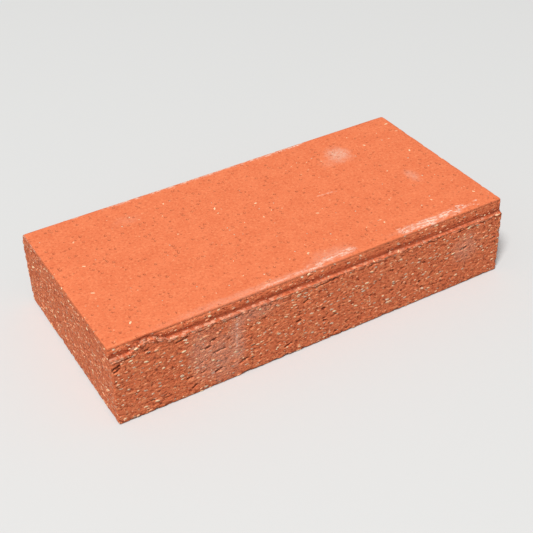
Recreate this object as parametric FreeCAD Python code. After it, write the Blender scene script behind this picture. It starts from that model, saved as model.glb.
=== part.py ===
import FreeCAD, Part
import os

# A solid clay paver: one fired piece, with no core, holes or frog.
# The frame: X runs along the length, Y across the width and Z up. The origin is the middle of the
# bed face, which is the face that lies on the ground. Sizes are in millimetres.
# Along the top of both long sides the clay is rebated: a smooth shoulder stands in from the side,
# and the rough side ends below it in a narrow ledge. Near the -X end of the -Y side the torn clay
# of the ledge rises in one short hump.

length = 200.0
width = 100.0
height = 40.0

shoulder_setback = 2.0  # from the side in to the shoulder
ledge_depth_left = 5.0  # from the top face down to the ledge, at the -X end
ledge_depth_right = 6.6  # the same at the +X end
ledge_root_radius = 0.7  # in the inner corner of the ledge

hump_from_end = 9.0  # from the -X end to where the hump starts
hump_length = 17.0
hump_height = 3.4  # above the ledge
hump_root = 3.0  # how far the hump reaches down and in, where it is one with the block

top_arris_radius = 1.6  # along the shoulders
edge_radius = 0.8  # over the top of the two ends and along the lip of each ledge
corner_radius = 0.9  # the four upright corners
bed_arris_radius = 1.1  # round the bed face

cut_margin = 5.0  # how far a cutter stands outside the block
edge_tolerance = 0.01


def point(x, y, z):
    return FreeCAD.Vector(x, y, z)


def ledge_height(x):
    """The height of the ledge above the bed face at one place along the length."""
    share = (x + length / 2) / length
    depth = ledge_depth_left + share * (ledge_depth_right - ledge_depth_left)
    return height - depth


def block():
    return Part.makeBox(length, width, height, point(-length / 2, -width / 2, 0))


def rebate_cutter(y, reach):
    """A slab over the ledge line, from the plane at y along Y by reach."""
    left = -length / 2 - cut_margin
    right = length / 2 + cut_margin
    top = height + cut_margin
    outline = Part.makePolygon(
        [
            point(left, y, ledge_height(left)),
            point(right, y, ledge_height(right)),
            point(right, y, top),
            point(left, y, top),
            point(left, y, ledge_height(left)),
        ]
    )
    return Part.Face(outline).extrude(point(0, reach, 0))


def rebated(body):
    outside = width / 2 + cut_margin
    reach = shoulder_setback + cut_margin
    front = rebate_cutter(-outside, reach)
    back = rebate_cutter(outside, -reach)
    return body.cut(front).cut(back)


def is_at(low, high, value):
    return abs(low - value) < edge_tolerance and abs(high - value) < edge_tolerance


def is_upright_corner(box):
    at_side = is_at(abs(box.YMin), abs(box.YMax), width / 2)
    at_end = is_at(abs(box.XMin), abs(box.XMax), length / 2)
    return at_side and at_end and box.ZLength > height / 2


def is_bed_edge(box):
    return is_at(box.ZMin, box.ZMax, 0)


def is_long_edge_at(box, y):
    return is_at(abs(box.YMin), abs(box.YMax), y) and box.XLength > length / 2


def is_ledge_root(box):
    at_shoulder = is_long_edge_at(box, width / 2 - shoulder_setback)
    return at_shoulder and box.ZMax < height - edge_tolerance


def is_top_long_edge(box):
    return is_at(box.ZMin, box.ZMax, height) and box.XLength > length / 2


def is_top_end_edge(box):
    at_end = is_at(abs(box.XMin), abs(box.XMax), length / 2)
    return at_end and is_at(box.ZMin, box.ZMax, height) and box.YLength > width / 2


def rounded(body, is_wanted, radius):
    edges = [edge for edge in body.Edges if is_wanted(edge.BoundBox)]
    return body.makeFillet(radius, edges)


def softened(body):
    """The block with its corners and arrises worn round.

    The last rounding follows the smooth run of edges from the top of each end, down the
    shoulders and along the lip of both ledges.
    """
    body = rounded(body, is_upright_corner, corner_radius)
    body = rounded(body, is_bed_edge, bed_arris_radius)
    body = rounded(body, is_ledge_root, ledge_root_radius)
    body = rounded(body, is_top_long_edge, top_arris_radius)
    return rounded(body, is_top_end_edge, edge_radius)


def hump():
    """The raised clay on the front ledge: an arc over a root inside the block."""
    side = -width / 2
    start = hump_from_end - length / 2
    finish = start + hump_length
    middle = (start + finish) / 2
    crest = point(middle, side, ledge_height(middle) + hump_height)
    left_foot = point(start, side, ledge_height(start))
    right_foot = point(finish, side, ledge_height(finish))
    left_root = left_foot - point(0, 0, hump_root)
    right_root = right_foot - point(0, 0, hump_root)
    outline = Part.Wire(
        [
            Part.Arc(left_foot, crest, right_foot).toShape(),
            Part.LineSegment(right_foot, right_root).toShape(),
            Part.LineSegment(right_root, left_root).toShape(),
            Part.LineSegment(left_root, left_foot).toShape(),
        ]
    )
    body = Part.Face(outline).extrude(point(0, shoulder_setback + hump_root, 0))
    return rounded(body, is_hump_lip, edge_radius)


def is_hump_lip(box):
    on_side = is_at(box.YMin, box.YMax, -width / 2)
    return on_side and box.XLength > hump_length / 2 and box.ZLength > hump_height / 2


def paver():
    return softened(rebated(block())).fuse(hump())


os.makedirs("parts", exist_ok=True)
paver().exportStep("parts/paver.step")
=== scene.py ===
import math

import bmesh
import bpy
import numpy as np
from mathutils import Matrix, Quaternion, Vector


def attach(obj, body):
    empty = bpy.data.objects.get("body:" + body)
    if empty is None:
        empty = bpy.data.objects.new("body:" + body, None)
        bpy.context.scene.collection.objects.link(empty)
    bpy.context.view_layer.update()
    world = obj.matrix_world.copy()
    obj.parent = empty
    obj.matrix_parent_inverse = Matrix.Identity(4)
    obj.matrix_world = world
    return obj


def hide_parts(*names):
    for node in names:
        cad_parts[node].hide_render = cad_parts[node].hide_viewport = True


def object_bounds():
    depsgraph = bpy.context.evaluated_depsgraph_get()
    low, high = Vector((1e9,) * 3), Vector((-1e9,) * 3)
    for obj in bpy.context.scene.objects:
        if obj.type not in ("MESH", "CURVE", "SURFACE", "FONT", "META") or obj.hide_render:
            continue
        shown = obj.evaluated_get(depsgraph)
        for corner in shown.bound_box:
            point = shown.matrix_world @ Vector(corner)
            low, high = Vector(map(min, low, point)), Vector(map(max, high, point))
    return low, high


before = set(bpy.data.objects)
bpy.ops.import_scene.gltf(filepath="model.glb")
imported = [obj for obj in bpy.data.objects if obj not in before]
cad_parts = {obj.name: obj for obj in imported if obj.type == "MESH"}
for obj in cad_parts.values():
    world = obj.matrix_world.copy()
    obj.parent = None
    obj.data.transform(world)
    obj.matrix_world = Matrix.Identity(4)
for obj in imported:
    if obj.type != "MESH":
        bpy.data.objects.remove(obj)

cadLow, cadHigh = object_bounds()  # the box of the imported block, before anything is added
mm = 0.001  # sizes and places below are in millimetres, in the frame's axes
length, width, height = ((high - low) / mm for low, high in zip(cadLow, cadHigh))
scene = bpy.context.scene
scene.view_settings.view_transform = "Standard"

# The ledge that runs along the top of both long sides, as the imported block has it.
ledge = {
    "depthLeft": 5.0,  # below the top face at the -X end
    "depthRight": 6.6,
    "setback": 2.0,  # from the side in to the shoulder
    "humpMiddle": -82.5,  # the raised clay on the front ledge
    "humpHalf": 8.5,
    "humpHeight": 3.4,
}
shoulderLine = width / 2 - ledge["setback"]


# ---- nodes: small helpers shared by the shape trees and the materials


# A socket takes another node's output or a plain value.
def feed(tree, socket, value):
    if isinstance(value, bpy.types.NodeSocket):
        tree.links.new(value, socket)
    else:
        socket.default_value = value


def calc(tree, operation, *values):
    node = tree.nodes.new("ShaderNodeMath")
    node.operation = operation
    for socket, value in zip(node.inputs, values):
        feed(tree, socket, value)
    return node.outputs[0]


def total(tree, first, *others):
    for value in others:
        first = calc(tree, "ADD", first, value)
    return first


def product(tree, first, *others):
    for value in others:
        first = calc(tree, "MULTIPLY", first, value)
    return first


def largest(tree, first, *others):
    for value in others:
        first = calc(tree, "MAXIMUM", first, value)
    return first


def opposite(tree, value):
    return calc(tree, "SUBTRACT", 1.0, value)


def vectorCalc(tree, operation, *values):
    node = tree.nodes.new("ShaderNodeVectorMath")
    node.operation = operation
    for socket, value in zip(node.inputs, values):
        feed(tree, socket, value)
    single = operation in ("LENGTH", "DOT_PRODUCT", "DISTANCE")
    return node.outputs["Value" if single else "Vector"]


def scaled(tree, vector, amount):
    node = tree.nodes.new("ShaderNodeVectorMath")
    node.operation = "SCALE"
    feed(tree, node.inputs[0], vector)
    feed(tree, node.inputs["Scale"], amount)
    return node.outputs["Vector"]


def joined(tree, *values):
    node = tree.nodes.new("ShaderNodeCombineXYZ")
    for socket, value in zip(node.inputs, values):
        feed(tree, socket, value)
    return node.outputs[0]


def parts(tree, vector):
    node = tree.nodes.new("ShaderNodeSeparateXYZ")
    feed(tree, node.inputs[0], vector)
    return node.outputs


# Smoothly 0 to 1 as the value goes from start to end, which may run either way.
def fade(tree, value, start, end):
    node = tree.nodes.new("ShaderNodeMapRange")
    node.interpolation_type = "SMOOTHSTEP"
    feed(tree, node.inputs["Value"], value)
    feed(tree, node.inputs["From Min"], start)
    feed(tree, node.inputs["From Max"], end)
    return node.outputs["Result"]


# Soft noise from 0 to 1 whose blobs have the given sizes along X, Y and Z.
def noise(tree, vector, sizes, detail=2.0, roughness=0.5):
    node = tree.nodes.new("ShaderNodeTexNoise")
    vector = vectorCalc(tree, "DIVIDE", vector, sizes)
    feed(tree, node.inputs["Vector"], vectorCalc(tree, "ADD", vector, (0.37, 0.61, 0.23)))
    node.inputs["Scale"].default_value = 1.0
    node.inputs["Detail"].default_value = detail
    node.inputs["Roughness"].default_value = roughness
    return node.outputs["Fac"]


# Scattered cells: the distance to the nearest cell's middle, and a random number for the cell.
def cells(tree, vector, sizes):
    node = tree.nodes.new("ShaderNodeTexVoronoi")
    feed(tree, node.inputs["Vector"], vectorCalc(tree, "DIVIDE", vector, sizes))
    node.inputs["Scale"].default_value = 1.0
    return node.outputs["Distance"], parts(tree, node.outputs["Color"])[0]


# Distance to the straight path between two places.
def awayFromPath(tree, place, start, end):
    path = vectorCalc(tree, "SUBTRACT", end, start)
    local = vectorCalc(tree, "SUBTRACT", place, start)
    along = vectorCalc(tree, "DOT_PRODUCT", local, path)
    share = calc(tree, "DIVIDE", along, vectorCalc(tree, "DOT_PRODUCT", path, path))
    share.node.use_clamp = True
    return vectorCalc(tree, "DISTANCE", local, scaled(tree, path, share))


def newTree(name, kind, inputs, outputs):
    tree = bpy.data.node_groups.new(name, kind)
    for label, socketType, value in inputs:
        socket = tree.interface.new_socket(label, in_out="INPUT", socket_type=socketType)
        if value is not None:
            socket.default_value = value
    for label, socketType in outputs:
        tree.interface.new_socket(label, in_out="OUTPUT", socket_type=socketType)
    given = tree.nodes.new("NodeGroupInput").outputs
    result = tree.nodes.new("NodeGroupOutput").inputs
    return tree, given, result


def runTree(piece, tree, values):
    modifier = piece.modifiers.new(tree.name, "NODES")
    modifier.node_group = tree
    for item in tree.interface.items_tree:
        if item.in_out == "INPUT" and item.name in values:
            modifier[item.identifier] = values[item.name]


# The piece's modifiers become its plain mesh.
def settle(piece):
    graph = bpy.context.evaluated_depsgraph_get()
    mesh = bpy.data.meshes.new_from_object(
        piece.evaluated_get(graph), preserve_all_data_layers=True, depsgraph=graph
    )
    piece.modifiers.clear()
    piece.data = mesh
    return mesh


def newPiece(name, mesh):
    piece = bpy.data.objects.new(name, mesh)
    scene.collection.objects.link(piece)
    return piece


# ---- the block: relief of the torn sides, the ledge and the worn corners


clayRelief = {
    "Swell Depth": 0.25,
    "Drag Length": 3.2,
    "Drag Height": 1.2,
    "Drag Depth": 0.30,
    "Grain Size": 1.0,
    "Grain Depth": 0.42,
    "Tear Length": 6.0,
    "Tear Height": 1.7,
    "Tear Depth": 1.0,
    "Tear Share": 0.2,
    "Chip Depth": 0.9,
    "Crack Depth": 0.6,
    "Lip Loss": 0.35,
    "Root Depth": 0.45,
    "Arris Wear": 0.6,
}
blockDetail = {
    "gridStep": 0.5,
    "triangles": 176000,
}


# Millimetres above the ledge line, which rises over the hump on the front.
def aboveLedge(tree, place):
    x, y, z = parts(tree, place)
    slope = (ledge["depthRight"] - ledge["depthLeft"]) / length
    middleDepth = (ledge["depthRight"] + ledge["depthLeft"]) / 2
    depth = calc(tree, "MULTIPLY_ADD", x, slope, middleDepth)
    alongHump = calc(tree, "DIVIDE", calc(tree, "SUBTRACT", x, ledge["humpMiddle"]), ledge["humpHalf"])
    arch = largest(tree, opposite(tree, product(tree, alongHump, alongHump)), 0.0)
    hump = product(tree, arch, ledge["humpHeight"], calc(tree, "LESS_THAN", y, 0.0))
    return calc(tree, "SUBTRACT", total(tree, z, depth), total(tree, hump, height))


# How near a place is to the block's outer edges and corners, from 0 to 1.
def nearEdge(tree, place, reach):
    x, y, z = parts(tree, vectorCalc(tree, "ABSOLUTE", place))
    nearX = fade(tree, x, length / 2 - reach, length / 2)
    nearY = fade(tree, y, width / 2 - reach, width / 2)
    nearBed = fade(tree, z, reach, 0.0)
    nearTop = fade(tree, z, height - reach, height)
    nearZ = calc(tree, "MULTIPLY_ADD", nearTop, 0.3, nearBed)
    pairs = [product(tree, nearX, nearY), product(tree, nearX, nearZ), product(tree, nearY, nearBed)]
    return largest(tree, *pairs)


# Short level tears where the cutting wire dragged grains out of the clay.
def tearMask(tree, place, sizes, share):
    away, luck = cells(tree, place, sizes)
    ragged = noise(tree, place, (1.3, 1.3, 0.8), 1.0)
    away = calc(tree, "MULTIPLY_ADD", ragged, 0.16, away)
    return product(tree, fade(tree, away, 0.34, 0.18), calc(tree, "LESS_THAN", luck, share))


# The larger tears in the front: middle X and Z, length, rise along the length, and half width.
frontTears = [
    (-54.0, 25.5, 2.5, 0.7, 0.35),
    (-56.5, 22.5, 2.0, 0.5, 0.3),
    (-51.5, 18.5, 5.0, 0.5, 0.25),
    (-52.5, 8.0, 3.0, 1.0, 0.35),
    (-66.0, 10.0, 2.0, 0.3, 0.3),
    (-64.0, 4.5, 1.5, 1.0, 0.4),
    (-69.0, 31.5, 3.0, 0.4, 0.25),
    (-66.0, 32.0, 1.0, 0.4, 0.35),
    (-8.5, 26.5, 2.0, 0.8, 0.3),
    (-12.0, 17.0, 2.0, 0.1, 0.3),
    (0.5, 18.5, 1.0, -0.4, 0.4),
    (-18.0, 6.0, 3.5, 0.7, 0.3),
    (-39.5, 8.0, 3.5, 0.5, 0.25),
    (-97.5, 30.5, 3.5, 1.0, 0.35),
    (-97.0, 29.0, 2.5, 0.8, 0.35),
    (53.0, 11.5, 0.5, 0.0, 0.55),
    (78.0, 21.0, 3.5, 0.3, 0.2),
]


def frontTearMask(tree, place):
    masks = []
    ragged = noise(tree, place, (1.2, 1.2, 1.0), 2.0, 0.6)
    ragged = calc(tree, "MULTIPLY_ADD", ragged, 1.1, -0.5)
    for x, z, size, rise, halfWidth in frontTears:
        start = (x - size / 2, -width / 2, z - rise / 2)
        end = (x + size / 2, -width / 2, z + rise / 2)
        away = calc(tree, "ADD", awayFromPath(tree, place, start, end), ragged)
        masks.append(fade(tree, away, halfWidth + 0.35, halfWidth - 0.05))
    return largest(tree, *masks)


# The ragged line under the ledge's lip, open on some stretches.
def crackMask(tree, place, above):
    path = calc(tree, "MULTIPLY_ADD", noise(tree, place, (7.0, 7.0, 7.0), 3.0, 0.6), 1.8, above)
    away = calc(tree, "ABSOLUTE", calc(tree, "ADD", path, 0.75))
    here = fade(tree, noise(tree, place, (14.0, 14.0, 40.0), 2.0), 0.49, 0.60)
    return product(tree, fade(tree, away, 0.6, 0.15), here)


# Where the lip has crumbled away, from 0 to 1.
def lipBreakMask(tree, place):
    return fade(tree, noise(tree, place, (2.6, 2.6, 1.4), 3.0, 0.65), 0.46, 0.60)


def reliefTree():
    sizes = [(name, "NodeSocketFloat", value) for name, value in clayRelief.items()]
    tree, given, result = newTree(
        "clayRelief",
        "GeometryNodeTree",
        [("Geometry", "NodeSocketGeometry", None)] + sizes,
        [("Geometry", "NodeSocketGeometry")],
    )
    place = scaled(tree, tree.nodes.new("GeometryNodeInputPosition").outputs[0], 1 / mm)
    normal = tree.nodes.new("GeometryNodeInputNormal").outputs[0]
    facing = parts(tree, vectorCalc(tree, "ABSOLUTE", normal))
    up = parts(tree, normal)[2]
    onEnd = fade(tree, facing[0], 0.4, 0.8)
    onSide = fade(tree, facing[1], 0.4, 0.8)
    onBed = fade(tree, up, -0.4, -0.8)
    above = aboveLedge(tree, place)
    below = fade(tree, above, -0.2, -0.9)
    awayFromMiddle = parts(tree, vectorCalc(tree, "ABSOLUTE", place))[1]
    pastShoulder = fade(tree, awayFromMiddle, shoulderLine - 0.3, shoulderLine + 0.3)
    onLedge = product(tree, fade(tree, up, 0.4, 0.8), pastShoulder)
    shoulder = product(tree, onSide, opposite(tree, below))
    fromTop = calc(tree, "SUBTRACT", height, parts(tree, place)[2])
    endTorn = calc(tree, "MULTIPLY_ADD", fade(tree, fromTop, 0.6, 2.6), 0.45, 0.15)
    torn = largest(
        tree,
        product(tree, onSide, below),
        product(tree, onEnd, endTorn),
        product(tree, onBed, 0.5),
        product(tree, shoulder, 0.6),
        product(tree, onLedge, 0.55),
    )

    swell = noise(tree, place, (42.0, 42.0, 16.0), 1.0)
    dragSizes = joined(tree, given["Drag Length"], given["Drag Length"], given["Drag Height"])
    drag = fade(tree, noise(tree, place, dragSizes, 3.0, 0.6), 0.3, 0.75)
    grainSizes = joined(tree, *[given["Grain Size"]] * 3)
    grain = noise(tree, place, grainSizes, 2.0, 0.6)
    tearSizes = joined(tree, given["Tear Length"], given["Tear Length"], given["Tear Height"])
    tear = tearMask(tree, place, tearSizes, given["Tear Share"])
    tear = largest(tree, tear, frontTearMask(tree, place))

    lip = product(tree, fade(tree, above, -1.9, -1.2), fade(tree, above, 0.4, -0.1), opposite(tree, onEnd))
    lipBreak = lipBreakMask(tree, place)
    crack = product(tree, crackMask(tree, place, above), onSide)
    nearRoot = product(
        tree,
        fade(tree, awayFromMiddle, shoulderLine + 1.0, shoulderLine + 0.2),
        fade(tree, awayFromMiddle, shoulderLine - 1.5, shoulderLine - 0.5),
        opposite(tree, onEnd),
    )
    root = product(tree, nearRoot, fade(tree, above, 1.6, 0.6), fade(tree, above, -0.8, -0.2))
    nearArris = fade(tree, awayFromMiddle, shoulderLine - 2.6, shoulderLine)
    arris = product(tree, nearArris, fade(tree, parts(tree, place)[2], height - 2.6, height))
    arrisWear = fade(tree, parts(tree, place)[0], 70.0, -30.0)
    arrisWear = product(tree, arrisWear, calc(tree, "MULTIPLY_ADD", swell, 0.8, 0.4))
    chip = product(
        tree,
        fade(tree, noise(tree, place, (3.2, 3.2, 3.2), 2.0), 0.52, 0.68),
        nearEdge(tree, place, 2.2),
    )

    roughDepth = total(
        tree,
        0.06,
        product(tree, swell, given["Swell Depth"]),
        product(tree, drag, given["Drag Depth"]),
        product(tree, grain, given["Grain Depth"]),
        product(tree, tear, given["Tear Depth"], opposite(tree, lip)),
        product(tree, crack, given["Crack Depth"]),
    )
    lipKeep = opposite(tree, product(tree, lip, 0.75, opposite(tree, lipBreak)))
    skinDepth = calc(tree, "MULTIPLY_ADD", swell, 0.10, 0.01)
    depth = total(
        tree,
        product(tree, roughDepth, torn, lipKeep),
        product(tree, skinDepth, opposite(tree, torn)),
        product(tree, chip, given["Chip Depth"]),
        product(tree, lip, lipBreak, given["Lip Loss"]),
        product(tree, root, given["Root Depth"]),
        product(tree, arris, arrisWear, given["Arris Wear"]),
    )
    shift = scaled(tree, normal, product(tree, depth, -mm))
    moved = tree.nodes.new("GeometryNodeSetPosition")
    feed(tree, moved.inputs["Geometry"], given["Geometry"])
    feed(tree, moved.inputs["Offset"], shift)
    feed(tree, result["Geometry"], moved.outputs["Geometry"])
    return tree


# Stores, on the finished block, what its material and the grains read.
def measureTree(plainBlock):
    tree, given, result = newTree(
        "clayMeasures",
        "GeometryNodeTree",
        [("Geometry", "NodeSocketGeometry", None)],
        [("Geometry", "NodeSocketGeometry")],
    )
    plain = tree.nodes.new("GeometryNodeObjectInfo")
    plain.inputs["Object"].default_value = plainBlock
    place = scaled(tree, tree.nodes.new("GeometryNodeInputPosition").outputs[0], 1 / mm)

    near = tree.nodes.new("GeometryNodeProximity")
    near.target_element = "FACES"
    feed(tree, near.inputs[0], plain.outputs["Geometry"])
    # How far a place lies inside the plain block; the material paints shade into the deeper hollows by it.
    hollow = product(tree, near.outputs["Distance"], 1 / mm)

    plainNormal = tree.nodes.new("GeometryNodeSampleNearestSurface")
    plainNormal.data_type = "FLOAT_VECTOR"
    feed(tree, plainNormal.inputs["Mesh"], plain.outputs["Geometry"])
    feed(tree, plainNormal.inputs["Value"], tree.nodes.new("GeometryNodeInputNormal").outputs[0])
    facing = plainNormal.outputs["Value"]
    sideways = parts(tree, vectorCalc(tree, "ABSOLUTE", facing))
    up = parts(tree, facing)[2]
    above = aboveLedge(tree, place)
    z = parts(tree, place)[2]
    onTop = product(tree, fade(tree, up, 0.5, 0.9), fade(tree, z, height - 1.5, height - 0.9))
    onLedge = product(tree, fade(tree, up, 0.3, 0.8), fade(tree, z, height - 1.5, height - 2.0))
    torn = opposite(tree, calc(tree, "MULTIPLY_ADD", onLedge, 0.35, onTop))

    geometry = given["Geometry"]
    for name, kind, domain, value in (
        ("hollow", "FLOAT", "POINT", hollow),
        ("fromLedge", "FLOAT", "POINT", above),
        ("torn", "FLOAT", "POINT", torn),
        ("onEnd", "FLOAT", "POINT", fade(tree, sideways[0], 0.5, 0.9)),
        ("plainNormal", "FLOAT_VECTOR", "FACE", facing),
    ):
        store = tree.nodes.new("GeometryNodeStoreNamedAttribute")
        store.data_type = kind
        store.domain = domain
        store.inputs["Name"].default_value = name
        feed(tree, store.inputs["Geometry"], geometry)
        feed(tree, store.inputs["Value"], value)
        geometry = store.outputs["Geometry"]
    feed(tree, result["Geometry"], geometry)
    return tree


# A flat chart for each face, named by its axis and sign, laid out on one square sheet.
sheetSize = 248.0
charts = {
    (2, 1): {"across": (0, 1), "up": (1, 1), "corner": (2.0, 2.0), "scale": 1.0},
    (1, -1): {"across": (0, 1), "up": (2, 1), "corner": (2.0, 104.0), "scale": 1.0},
    (1, 1): {"across": (0, -1), "up": (2, 1), "corner": (2.0, 146.0), "scale": 1.0},
    (0, -1): {"across": (2, 1), "up": (1, 1), "corner": (206.0, 2.0), "scale": 1.0},
    (0, 1): {"across": (2, -1), "up": (1, 1), "corner": (206.0, 104.0), "scale": 1.0},
    (2, -1): {"across": (0, -1), "up": (1, 1), "corner": (2.0, 188.0), "scale": 0.5},
}


def layCharts(mesh):
    faces = len(mesh.polygons)
    normals = np.empty(faces * 3, np.float32)
    mesh.attributes["plainNormal"].data.foreach_get("vector", normals)
    normals = normals.reshape(-1, 3)
    axis = np.abs(normals).argmax(axis=1)
    sign = np.where(normals[np.arange(faces), axis] < 0, -1, 1)
    corners = np.empty(len(mesh.loops), np.int32)
    mesh.loops.foreach_get("vertex_index", corners)
    counts = np.empty(faces, np.int32)
    mesh.polygons.foreach_get("loop_total", counts)
    faceOf = np.repeat(np.arange(faces), counts)
    places = np.empty(len(mesh.vertices) * 3, np.float32)
    mesh.vertices.foreach_get("co", places)
    places = places.reshape(-1, 3)[corners] / mm
    low = np.array(cadLow) / mm
    high = np.array(cadHigh) / mm
    flat = np.zeros((len(corners), 2))
    for key, chart in charts.items():
        here = (axis[faceOf] == key[0]) & (sign[faceOf] == key[1])
        for column, (along, way) in enumerate((chart["across"], chart["up"])):
            start = low[along] if way > 0 else high[along]
            distance = (places[here, along] - start) * way
            flat[here, column] = chart["corner"][column] + distance * chart["scale"]
    layer = mesh.uv_layers.new(name="OFBake")
    layer.data.foreach_set("uv", (flat / sheetSize).astype(np.float32).ravel())


def keepInBox(mesh):
    places = np.empty(len(mesh.vertices) * 3, np.float32)
    mesh.vertices.foreach_get("co", places)
    places = np.clip(places.reshape(-1, 3), np.array(cadLow), np.array(cadHigh))
    mesh.vertices.foreach_set("co", places.astype(np.float32).ravel())
    mesh.update()


def clayBlock():
    welded = bmesh.new()
    welded.from_mesh(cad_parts["paver"].data)
    bmesh.ops.remove_doubles(welded, verts=welded.verts, dist=0.001 * mm)
    mesh = bpy.data.meshes.new("clay_block")
    welded.to_mesh(mesh)
    welded.free()
    block = newPiece("clay_block", mesh)
    plain = newPiece("plain_block", mesh.copy())

    grid = block.modifiers.new("grid", "REMESH")
    grid.mode = "VOXEL"
    grid.voxel_size = blockDetail["gridStep"] * mm
    grid.use_smooth_shade = True
    runTree(block, reliefTree(), clayRelief)
    mesh = settle(block)
    print("block gridded:", len(mesh.polygons), "faces")

    thin = block.modifiers.new("thin", "DECIMATE")
    thin.ratio = min(1.0, blockDetail["triangles"] / (2 * len(mesh.polygons)))
    runTree(block, measureTree(plain), {})
    mesh = settle(block)
    bpy.data.objects.remove(plain)
    keepInBox(mesh)
    layCharts(mesh)
    mesh.shade_smooth()
    print("block thinned:", len(mesh.polygons), "faces")
    return block


# ---- the pale grains of crushed fired clay that stand in the torn sides


grogGrains = {
    "Density": 0.10,  # grains for each square millimetre of torn clay
    "Least Gap": 0.8,
    "Smallest": 0.18,
    "Largest": 0.56,
    "Seed": 7,
}


def randomFloat(tree, seed, low=0.0, high=1.0):
    node = tree.nodes.new("FunctionNodeRandomValue")
    node.data_type = "FLOAT"
    node.inputs[2].default_value = low
    node.inputs[3].default_value = high
    node.inputs["Seed"].default_value = seed
    return node.outputs[1]


def grogTree(material):
    tree, given, result = newTree(
        "grogGrains",
        "GeometryNodeTree",
        [
            ("Geometry", "NodeSocketGeometry", None),
            ("Density", "NodeSocketFloat", 0.1),
            ("Least Gap", "NodeSocketFloat", 1.0),
            ("Smallest", "NodeSocketFloat", 0.2),
            ("Largest", "NodeSocketFloat", 0.6),
            ("Seed", "NodeSocketInt", 1),
        ],
        [("Geometry", "NodeSocketGeometry")],
    )
    tornHere = tree.nodes.new("GeometryNodeInputNamedAttribute")
    tornHere.data_type = "FLOAT"
    tornHere.inputs["Name"].default_value = "torn"
    share = calc(tree, "MULTIPLY_ADD", tornHere.outputs["Attribute"], 0.93, 0.07)
    spread = tree.nodes.new("GeometryNodeDistributePointsOnFaces")
    spread.distribute_method = "POISSON"
    feed(tree, spread.inputs["Mesh"], given["Geometry"])
    feed(tree, spread.inputs["Distance Min"], product(tree, given["Least Gap"], mm))
    feed(tree, spread.inputs["Density Max"], product(tree, given["Density"], 1 / mm / mm))
    feed(tree, spread.inputs["Density Factor"], share)
    feed(tree, spread.inputs["Seed"], given["Seed"])
    outward = spread.outputs["Normal"]

    level = vectorCalc(tree, "CROSS_PRODUCT", (0.0, 0.0, 1.0), outward)
    jitter = tree.nodes.new("FunctionNodeRandomValue")
    jitter.data_type = "FLOAT_VECTOR"
    jitter.inputs["Min"].default_value = (-0.3, -0.3, -0.3)
    jitter.inputs["Max"].default_value = (0.3, 0.3, 0.3)
    upright = tree.nodes.new("FunctionNodeAlignRotationToVector")
    upright.axis = "Z"
    feed(tree, upright.inputs["Vector"], outward)
    turned = tree.nodes.new("FunctionNodeAlignRotationToVector")
    turned.axis = "X"
    turned.pivot_axis = "Z"
    feed(tree, turned.inputs["Rotation"], upright.outputs["Rotation"])
    feed(tree, turned.inputs["Vector"], vectorCalc(tree, "ADD", level, jitter.outputs["Value"]))

    fewLarge = calc(tree, "POWER", randomFloat(tree, 3), 2.5)
    span = calc(tree, "SUBTRACT", given["Largest"], given["Smallest"])
    radius = calc(tree, "MULTIPLY_ADD", fewLarge, span, given["Smallest"])
    longer = randomFloat(tree, 5, 1.2, 2.6)
    size = joined(
        tree,
        product(tree, radius, longer, mm),
        product(tree, radius, mm),
        product(tree, radius, 0.55 * mm),
    )

    crumb = tree.nodes.new("GeometryNodeMeshIcoSphere")
    crumb.inputs["Radius"].default_value = 1.0
    crumb.inputs["Subdivisions"].default_value = 1
    placed = tree.nodes.new("GeometryNodeInstanceOnPoints")
    feed(tree, placed.inputs["Points"], spread.outputs["Points"])
    feed(tree, placed.inputs["Instance"], crumb.outputs["Mesh"])
    feed(tree, placed.inputs["Rotation"], turned.outputs["Rotation"])
    feed(tree, placed.inputs["Scale"], size)

    store = tree.nodes.new("GeometryNodeStoreNamedAttribute")
    store.data_type = "FLOAT"
    store.domain = "INSTANCE"
    store.inputs["Name"].default_value = "tint"
    feed(tree, store.inputs["Geometry"], placed.outputs["Instances"])
    feed(tree, store.inputs["Value"], randomFloat(tree, 9))
    real = tree.nodes.new("GeometryNodeRealizeInstances")
    feed(tree, real.inputs["Geometry"], store.outputs["Geometry"])
    coated = tree.nodes.new("GeometryNodeSetMaterial")
    coated.inputs["Material"].default_value = material
    feed(tree, coated.inputs["Geometry"], real.outputs["Geometry"])
    feed(tree, result["Geometry"], coated.outputs["Geometry"])
    return tree


def grogPiece(block, material):
    grains = newPiece("grog_grains", block.data.copy())
    runTree(grains, grogTree(material), grogGrains)
    mesh = settle(grains)
    keepInBox(mesh)
    mesh.shade_flat()
    print("grog grains:", len(mesh.polygons), "faces")
    return grains


# ---- finishes


clayColours = {
    "body": (0.81, 0.188, 0.072, 1),
    "warm": (0.86, 0.215, 0.086, 1),
    "deep": (0.40, 0.062, 0.020, 1),
    "pale": (1.0, 0.335, 0.145, 1),
    "pitShade": (0.20, 0.030, 0.012, 1),
    "speck": (0.96, 0.76, 0.54, 1),
    "lip": (0.88, 0.43, 0.27, 1),
    "dust": (0.84, 0.44, 0.31, 1),
    "chalk": (0.95, 0.66, 0.52, 1),
}

grogColours = {
    "rosy": (0.90, 0.36, 0.18, 1),
    "cream": (0.92, 0.70, 0.43, 1),
}

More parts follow.
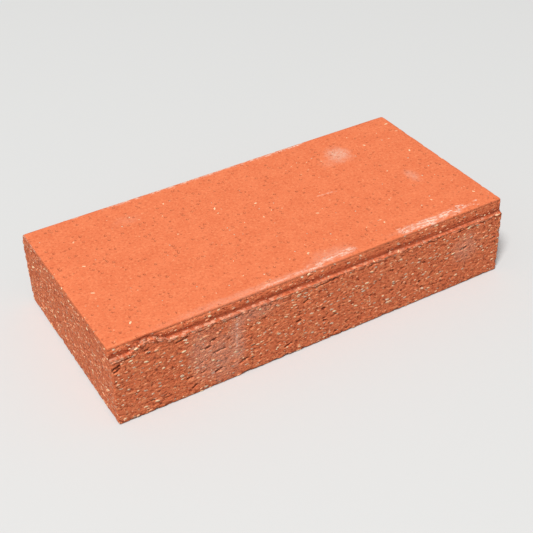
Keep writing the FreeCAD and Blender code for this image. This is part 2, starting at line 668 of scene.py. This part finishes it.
# Faint bloom where dust has settled: the middle and reach of each patch, and its strength.
dustPatches = [
    ((58.5, 27.0, 40.0), (9.0, 10.5, 4.0), 1.1),
    ((50.5, 23.0, 40.0), (7.0, 6.0, 4.0), 0.25),
    ((-55.0, 31.0, 40.0), (9.0, 6.0, 4.0), 0.18),
    ((77.5, -9.0, 40.0), (4.5, 8.0, 4.0), 0.6),
    ((9.0, -42.0, 40.0), (17.0, 7.0, 5.0), 0.45),
    ((-43.0, -50.0, 20.0), (6.0, 4.0, 24.0), 0.72),
    ((-51.0, -50.0, 14.0), (9.0, 4.0, 22.0), 0.65),
    ((-60.0, -50.0, 20.0), (9.0, 4.0, 22.0), 0.6),
    ((79.0, -50.0, 21.0), (11.0, 4.0, 12.0), 0.55),
    ((-34.0, -50.0, 31.0), (18.0, 4.0, 6.0), 0.5),
    ((-35.0, -45.5, 40.0), (60.0, 3.4, 3.0), 0.42),
    ((60.0, -44.5, 40.0), (30.0, 3.0, 3.0), 0.55),
]

# Chalky rubs: where each starts and ends, how wide it is and how strong.
chalkStrokes = [
    ((46.0, -44.6, 40.0), (60.0, -45.0, 40.0), 3.6, 1.0),
    ((44.0, -42.0, 40.0), (50.0, -45.4, 40.0), 0.5, 0.8),
    ((58.0, -45.0, 40.0), (76.0, -44.0, 40.0), 3.4, 1.0),
    ((70.0, -43.6, 40.0), (81.0, -41.8, 40.0), 0.9, 0.9),
    ((78.0, -41.4, 40.0), (88.0, -45.6, 40.0), 0.8, 0.9),
    ((80.0, -44.4, 40.0), (89.0, -42.4, 40.0), 0.8, 0.85),
    ((-4.0, -45.5, 40.0), (19.0, -43.5, 40.0), 3.0, 0.8),
    ((-30.0, -46.0, 40.0), (-4.0, -45.5, 40.0), 1.4, 0.5),
    ((-60.0, 46.2, 40.0), (48.0, 46.2, 40.0), 1.9, 0.95),
    ((-90.0, 46.4, 40.0), (-70.0, 46.2, 40.0), 1.2, 0.6),
    ((29.5, 0.5, 40.0), (39.0, -0.5, 40.0), 0.8, 0.45),
    ((-42.5, -49.5, 32.0), (-43.5, -49.5, 14.0), 1.0, 0.9),
    ((-55.5, -49.5, 8.5), (-55.0, -49.5, 7.0), 1.6, 1.0),
    ((-99.5, 48.0, 39.5), (-99.5, 24.0, 39.5), 0.5, 0.6),
]


# The flecks in the clay: millimetres, the share of cells that hold one, and how drawn out. The dark dots
# are painted shade of small pits.
flecks = {
    "darkDots": {"Spacing": 1.9, "Radius": 0.50, "Share": 0.45, "Drag": 1.3},
    "rareDots": {"Spacing": 5.0, "Radius": 0.7, "Share": 0.4, "Drag": 1.6},
    "topSpecks": {"Spacing": 4.0, "Radius": 0.42, "Share": 0.4, "Drag": 1.0},
    "sideSpecks": {"Spacing": 1.6, "Radius": 0.46, "Share": 0.42, "Drag": 2.1},
}

# How strongly each mark shows. A pair is the value on the smooth wearing face, then on torn clay.
clayFinish = {
    "fineness": (2.0, 1.3),
    "darkGrain": (0.36, 0.90),
    "lightGrain": (0.45, 0.95),
    "darkDots": (0.03, 0.65),
    "rareDots": (0.08, 0.80),
    "topSpecks": 0.68,
    "endSpecks": 0.45,
    "sideSpecks": 0.83,
    # shadow, tear, crack and root: how dark the painted shade is in hollows, tears, the crack and the
    # shoulder's root.
    "shadow": 0.8,
    "tear": 0.8,
    "crack": 0.7,
    "root": 0.45,
    "ledgeFlat": 0.24,
    "lip": (0.50, 0.85),  # at the +X end, then at the -X end
    "roughness": (0.80, 0.94),  # plain clay, then its dark grain
    "specular": 0.3,
    "relief": (0.2, 1.0),
    "reliefDepth": 0.9,
}


# From the first of a pair of values to the second, as the share goes from 0 to 1.
def between(tree, share, pair):
    return calc(tree, "MULTIPLY_ADD", share, pair[1] - pair[0], pair[0])


def shaderGroup(name, inputs, outputs):
    return newTree(name, "ShaderNodeTree", inputs, outputs)


def useGroup(tree, group, **values):
    node = tree.nodes.new("ShaderNodeGroup")
    node.node_tree = group
    for name, value in values.items():
        feed(tree, node.inputs[name], value)
    return node.outputs


# Fired clay's own mottling: broad cloud, and a sandy grain of light and dark.
def grainGroup():
    tree, given, result = shaderGroup(
        "clayGrain",
        [("Place", "NodeSocketVector", None), ("Drag", "NodeSocketFloat", 1.0)],
        [
            ("Cloud", "NodeSocketFloat"),
            ("Dark", "NodeSocketFloat"),
            ("Light", "NodeSocketFloat"),
            ("Height", "NodeSocketFloat"),
        ],
    )
    stretch = joined(tree, given["Drag"], given["Drag"], 1.0)
    place = vectorCalc(tree, "DIVIDE", given["Place"], stretch)
    cloud = noise(tree, given["Place"], (16.0, 16.0, 8.0), 3.0, 0.6)
    sand = noise(tree, place, (1.6, 1.6, 1.6), 3.0, 0.75)
    other = noise(tree, vectorCalc(tree, "ADD", place, (31.0, 17.0, 53.0)), (1.8, 1.8, 1.8), 3.0, 0.75)
    feed(tree, result["Cloud"], fade(tree, cloud, 0.3, 0.7))
    feed(tree, result["Dark"], fade(tree, sand, 0.49, 0.36))
    feed(tree, result["Light"], fade(tree, other, 0.52, 0.64))
    feed(tree, result["Height"], calc(tree, "MULTIPLY_ADD", other, 0.7, sand))
    return tree


# Round or drawn-out flecks, one to a cell, in a share of the cells.
def fleckGroup():
    tree, given, result = shaderGroup(
        "grogFlecks",
        [
            ("Place", "NodeSocketVector", None),
            ("Spacing", "NodeSocketFloat", 3.0),
            ("Radius", "NodeSocketFloat", 0.3),
            ("Share", "NodeSocketFloat", 0.5),
            ("Drag", "NodeSocketFloat", 1.0),
        ],
        [("Mask", "NodeSocketFloat")],
    )
    longSize = product(tree, given["Spacing"], given["Drag"])
    away, luck = cells(tree, given["Place"], joined(tree, longSize, longSize, given["Spacing"]))
    present = calc(tree, "LESS_THAN", luck, given["Share"])
    reach = calc(tree, "DIVIDE", given["Radius"], given["Spacing"])
    spread = calc(tree, "DIVIDE", luck, given["Share"])
    reach = product(tree, reach, calc(tree, "MULTIPLY_ADD", spread, 0.8, 0.5))
    wobble = noise(tree, given["Place"], (0.5, 0.5, 0.5), 1.0)
    away = total(tree, away, product(tree, calc(tree, "SUBTRACT", wobble, 0.5), reach, 1.2))
    mask = product(tree, fade(tree, away, reach, product(tree, reach, 0.6)), present)
    feed(tree, result["Mask"], mask)
    return tree


# One patch of settled dust with a broken edge.
def dustGroup():
    tree, given, result = shaderGroup(
        "dustBloom",
        [
            ("Place", "NodeSocketVector", None),
            ("Middle", "NodeSocketVector", None),
            ("Reach", "NodeSocketVector", None),
            ("Strength", "NodeSocketFloat", 0.5),
        ],
        [("Mask", "NodeSocketFloat")],
    )
    local = vectorCalc(tree, "SUBTRACT", given["Place"], given["Middle"])
    local = vectorCalc(tree, "DIVIDE", local, given["Reach"])
    ragged = noise(tree, given["Place"], (3.0, 3.0, 3.0), 3.0, 0.6)
    away = calc(tree, "MULTIPLY_ADD", ragged, 0.8, vectorCalc(tree, "LENGTH", local))
    speckle = noise(tree, given["Place"], (0.7, 0.7, 0.7), 2.0, 0.6)
    body = product(tree, fade(tree, away, 1.35, 0.55), fade(tree, speckle, 0.15, 0.75))
    feed(tree, result["Mask"], product(tree, body, given["Strength"]))
    return tree


# One chalky rub along a straight path, broken up by the surface's grain.
def chalkGroup():
    tree, given, result = shaderGroup(
        "chalkRub",
        [
            ("Place", "NodeSocketVector", None),
            ("Start", "NodeSocketVector", None),
            ("End", "NodeSocketVector", None),
            ("Width", "NodeSocketFloat", 1.0),
            ("Strength", "NodeSocketFloat", 0.5),
        ],
        [("Mask", "NodeSocketFloat")],
    )
    away = awayFromPath(tree, given["Place"], given["Start"], given["End"])
    away = calc(tree, "DIVIDE", away, given["Width"])
    streaks = noise(tree, given["Place"], (5.0, 1.1, 1.6), 3.0, 0.7)
    specks = noise(tree, given["Place"], (1.1, 1.1, 1.1), 2.0, 0.7)
    broken = product(tree, fade(tree, streaks, 0.42, 0.58), fade(tree, specks, 0.38, 0.55))
    mask = product(tree, fade(tree, away, 1.0, 0.2), broken, given["Strength"])
    feed(tree, result["Mask"], mask)
    return tree


def mixColour(tree, share, first, second):
    node = tree.nodes.new("ShaderNodeMix")
    node.data_type = "RGBA"
    feed(tree, node.inputs["Factor"], share)
    feed(tree, node.inputs[6], first)
    feed(tree, node.inputs[7], second)
    return node.outputs[2]


def newMaterial(name):
    material = bpy.data.materials.new(name)
    material.use_nodes = True
    tree = material.node_tree
    shader = tree.nodes["Principled BSDF"]
    return material, tree, shader


# Places in the materials are in millimetres, in the frame's own axes.
def placeIn(tree):
    coordinates = tree.nodes.new("ShaderNodeTexCoord")
    return scaled(tree, coordinates.outputs["Object"], 1 / mm)


def stored(tree, name):
    node = tree.nodes.new("ShaderNodeAttribute")
    node.attribute_name = name
    return node.outputs["Fac"]


def firedClay(groups):
    material, tree, shader = newMaterial("firedClay")
    place = placeIn(tree)
    torn = stored(tree, "torn")
    hollow = stored(tree, "hollow")
    above = stored(tree, "fromLedge")
    notEnd = opposite(tree, stored(tree, "onEnd"))

    finePlace = scaled(tree, place, between(tree, torn, clayFinish["fineness"]))
    grain = useGroup(tree, groups["grain"], Place=finePlace, Drag=1.5)
    colour = mixColour(tree, grain["Cloud"], clayColours["body"], clayColours["warm"])
    darkShare = between(tree, torn, clayFinish["darkGrain"])
    colour = mixColour(tree, product(tree, grain["Dark"], darkShare), colour, clayColours["deep"])
    lightShare = between(tree, torn, clayFinish["lightGrain"])
    colour = mixColour(tree, product(tree, grain["Light"], lightShare), colour, clayColours["pale"])

    marks = {
        name: useGroup(tree, groups["fleck"], Place=place, **values)["Mask"]
        for name, values in flecks.items()
    }
    # Painted shade: dark dots where shade falls in small pits.
    for name in ("darkDots", "rareDots"):
        share = between(tree, torn, clayFinish[name])
        colour = mixColour(tree, product(tree, marks[name], share), colour, clayColours["pitShade"])
    sideShare = between(tree, notEnd, (clayFinish["endSpecks"], clayFinish["sideSpecks"]))
    speckShare = largest(
        tree,
        product(tree, marks["topSpecks"], clayFinish["topSpecks"]),
        product(tree, marks["sideSpecks"], torn, sideShare),
    )
    colour = mixColour(tree, speckShare, colour, clayColours["speck"])

    # The front's tears are darkened to their full depth as painted shade, so their places are taken as on
    # its face.
    x, y, z = parts(tree, place)
    onFront = calc(tree, "LESS_THAN", y, 3.0 - width / 2)
    frontPlace = joined(tree, x, product(tree, onFront, -width / 2), z)
    tearSizes = (clayRelief["Tear Length"], clayRelief["Tear Length"], clayRelief["Tear Height"])
    tear = product(tree, tearMask(tree, place, tearSizes, clayRelief["Tear Share"]), torn)
    tear = product(tree, tear, fade(tree, hollow, 0.45, 0.75))
    tear = largest(tree, tear, frontTearMask(tree, frontPlace))
    # Painted shade: hollows, tears and the crack under the lip are darkened in the colour where shade
    # falls in them.
    shadow = product(tree, fade(tree, hollow, 0.75, 1.3), torn, clayFinish["shadow"])
    crack = product(tree, crackMask(tree, place, above), fade(tree, hollow, 0.4, 0.7), notEnd)
    tear = product(tree, tear, clayFinish["tear"])
    crack = product(tree, crack, torn, clayFinish["crack"])
    recessShade = largest(tree, shadow, tear, crack)
    colour = mixColour(tree, recessShade, colour, clayColours["pitShade"])
    # Painted shade in the groove at the shoulder's root, and partly the cleaner, deeper red clay there.
    awayFromMiddle = parts(tree, vectorCalc(tree, "ABSOLUTE", place))[1]
    nearRoot = product(
        tree,
        fade(tree, awayFromMiddle, shoulderLine + 1.0, shoulderLine + 0.3),
        fade(tree, awayFromMiddle, shoulderLine - 2.0, shoulderLine - 1.0),
        notEnd,
    )
    root = product(tree, nearRoot, fade(tree, above, 3.0, 0.8), fade(tree, above, -0.8, -0.3))
    root = product(tree, root, clayFinish["root"])
    colour = mixColour(tree, root, colour, clayColours["deep"])

    ledgeFlat = product(tree, fade(tree, above, -0.9, -0.2), fade(tree, above, 0.6, 0.2), notEnd)
    ledgeFlat = product(tree, ledgeFlat, clayFinish["ledgeFlat"])
    colour = mixColour(tree, ledgeFlat, colour, clayColours["deep"])
    # The lip's bead is painted pale: partly a painted highlight where light catches it, partly its pale
    # crumbled clay.
    lipBand = product(tree, fade(tree, above, -1.7, -1.1), fade(tree, above, 0.0, -0.35))
    crumbs = fade(tree, noise(tree, place, (2.0, 2.0, 1.6), 3.0, 0.7), 0.45, 0.6)
    lipPale = between(tree, fade(tree, x, 20.0, -60.0), clayFinish["lip"])
    lipWearAndHighlight = product(tree, lipBand, crumbs, lipPale, notEnd)
    colour = mixColour(tree, lipWearAndHighlight, colour, clayColours["lip"])

    for middle, reach, strength in dustPatches:
        patch = useGroup(
            tree, groups["dust"], Place=place, Middle=middle, Reach=reach, Strength=strength
        )
        colour = mixColour(tree, patch["Mask"], colour, clayColours["dust"])
    for start, end, strokeWidth, strength in chalkStrokes:
        rub = useGroup(
            tree, groups["chalk"], Place=place, Start=start, End=end, Width=strokeWidth, Strength=strength
        )
        colour = mixColour(tree, rub["Mask"], colour, clayColours["chalk"])

    feed(tree, shader.inputs["Base Color"], colour)
    feed(tree, shader.inputs["Roughness"], between(tree, grain["Dark"], clayFinish["roughness"]))
    shader.inputs["Specular IOR Level"].default_value = clayFinish["specular"]
    bumpHeight = total(
        tree,
        product(tree, grain["Height"], between(tree, torn, clayFinish["relief"])),
        product(tree, marks["darkDots"], -0.4),
        product(tree, speckShare, 0.35),
    )
    bump = tree.nodes.new("ShaderNodeBump")
    bump.inputs["Strength"].default_value = 1.0
    bump.inputs["Distance"].default_value = clayFinish["reliefDepth"] * mm
    feed(tree, bump.inputs["Height"], bumpHeight)
    feed(tree, shader.inputs["Normal"], bump.outputs["Normal"])
    return material


def grogStone(groups):
    material, tree, shader = newMaterial("grogStone")
    place = placeIn(tree)
    grain = useGroup(tree, groups["grain"], Place=place, Drag=1.0)
    tint = stored(tree, "tint")
    colour = mixColour(tree, fade(tree, tint, 0.2, 0.95), grogColours["rosy"], grogColours["cream"])
    colour = mixColour(tree, product(tree, grain["Dark"], 0.35), colour, clayColours["body"])
    feed(tree, shader.inputs["Base Color"], colour)
    feed(tree, shader.inputs["Roughness"], calc(tree, "MULTIPLY_ADD", grain["Dark"], 0.2, 0.7))
    bump = tree.nodes.new("ShaderNodeBump")
    bump.inputs["Distance"].default_value = 0.1 * mm
    feed(tree, bump.inputs["Height"], grain["Height"])
    feed(tree, shader.inputs["Normal"], bump.outputs["Normal"])
    return material


# ---- the studio: floor, lamps and camera


studio = {
    "floorSize": 4000.0,
    "floorColour": (0.70, 0.70, 0.69, 1),
    "floorBounce": (0.30, 0.30, 0.30, 1),  # what the floor gives back to the block
    "skyStrength": 0.30,
    "backdrop": 0.84,  # how bright the far background looks from the camera
    "lampTurn": -48.0,
    "lampHeight": 58.0,
    "lampDistance": 6000.0,
    "lampSize": 1430.0,
    "lampShare": 1.0,  # 1 lights a facing surface so that its colour renders as written
}
view = {
    "aim": (-2.25, -4.4, 14.5),
    "turn": -29.31,
    "rise": 36.51,
    "roll": -2.07,
    "distance": 501.8,
    "lens": 72.24,
}


def direction(turn, rise):
    turn, rise = math.radians(turn), math.radians(rise)
    return Vector((math.sin(turn) * math.cos(rise), -math.cos(turn) * math.cos(rise), math.sin(rise)))


def studioFloor():
    bpy.ops.mesh.primitive_plane_add(size=studio["floorSize"] * mm)
    floor = bpy.context.object
    floor.name = "studio_floor"
    material, tree, shader = newMaterial("paleFloor")
    path = tree.nodes.new("ShaderNodeLightPath")
    seen = largest(tree, path.outputs["Is Camera Ray"], path.outputs["Is Glossy Ray"])
    colour = mixColour(tree, seen, studio["floorBounce"], studio["floorColour"])
    feed(tree, shader.inputs["Base Color"], colour)
    shader.inputs["Roughness"].default_value = 0.9
    shader.inputs["Specular IOR Level"].default_value = 0.1
    floor.data.materials.append(material)


def studioLights():
    world = bpy.data.worlds.new("softSky")
    world.use_nodes = True
    background = world.node_tree.nodes["Background"]
    background.inputs["Color"].default_value = (1, 1, 1, 1)
    path = world.node_tree.nodes.new("ShaderNodeLightPath")
    pale = studio["backdrop"] - studio["skyStrength"]
    seen = path.outputs["Is Camera Ray"]
    strength = calc(world.node_tree, "MULTIPLY_ADD", seen, pale, studio["skyStrength"])
    feed(world.node_tree, background.inputs["Strength"], strength)
    scene.world = world
    lamp = bpy.data.lights.new("softKey", "AREA")
    lamp.shape = "DISK"
    lamp.size = studio["lampSize"] * mm
    distance = studio["lampDistance"] * mm
    lamp.energy = studio["lampShare"] * math.pi**2 * distance**2
    holder = bpy.data.objects.new("softKey", lamp)
    scene.collection.objects.link(holder)
    toLamp = direction(studio["lampTurn"], studio["lampHeight"])
    holder.location = toLamp * distance
    holder.rotation_euler = toLamp.to_track_quat("Z", "Y").to_euler()


def studioCamera():
    data = bpy.data.cameras.new("camera")
    data.lens = view["lens"]
    camera = bpy.data.objects.new("camera", data)
    scene.collection.objects.link(camera)
    back = direction(view["turn"], view["rise"])
    camera.location = Vector(view["aim"]) * mm + back * view["distance"] * mm
    level = (-back).to_track_quat("-Z", "Y")
    camera.rotation_euler = (level @ Quaternion((0, 0, 1), math.radians(view["roll"]))).to_euler()
    scene.camera = camera


studioCamera()
studioFloor()
studioLights()
print("studio ready")

groups = {"grain": grainGroup(), "fleck": fleckGroup(), "dust": dustGroup(), "chalk": chalkGroup()}
block = clayBlock()
block.data.materials.clear()
block.data.materials.append(firedClay(groups))
grains = grogPiece(block, grogStone(groups))
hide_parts("paver")
for piece in (block, grains):
    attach(piece, "root")
print("paver ready")
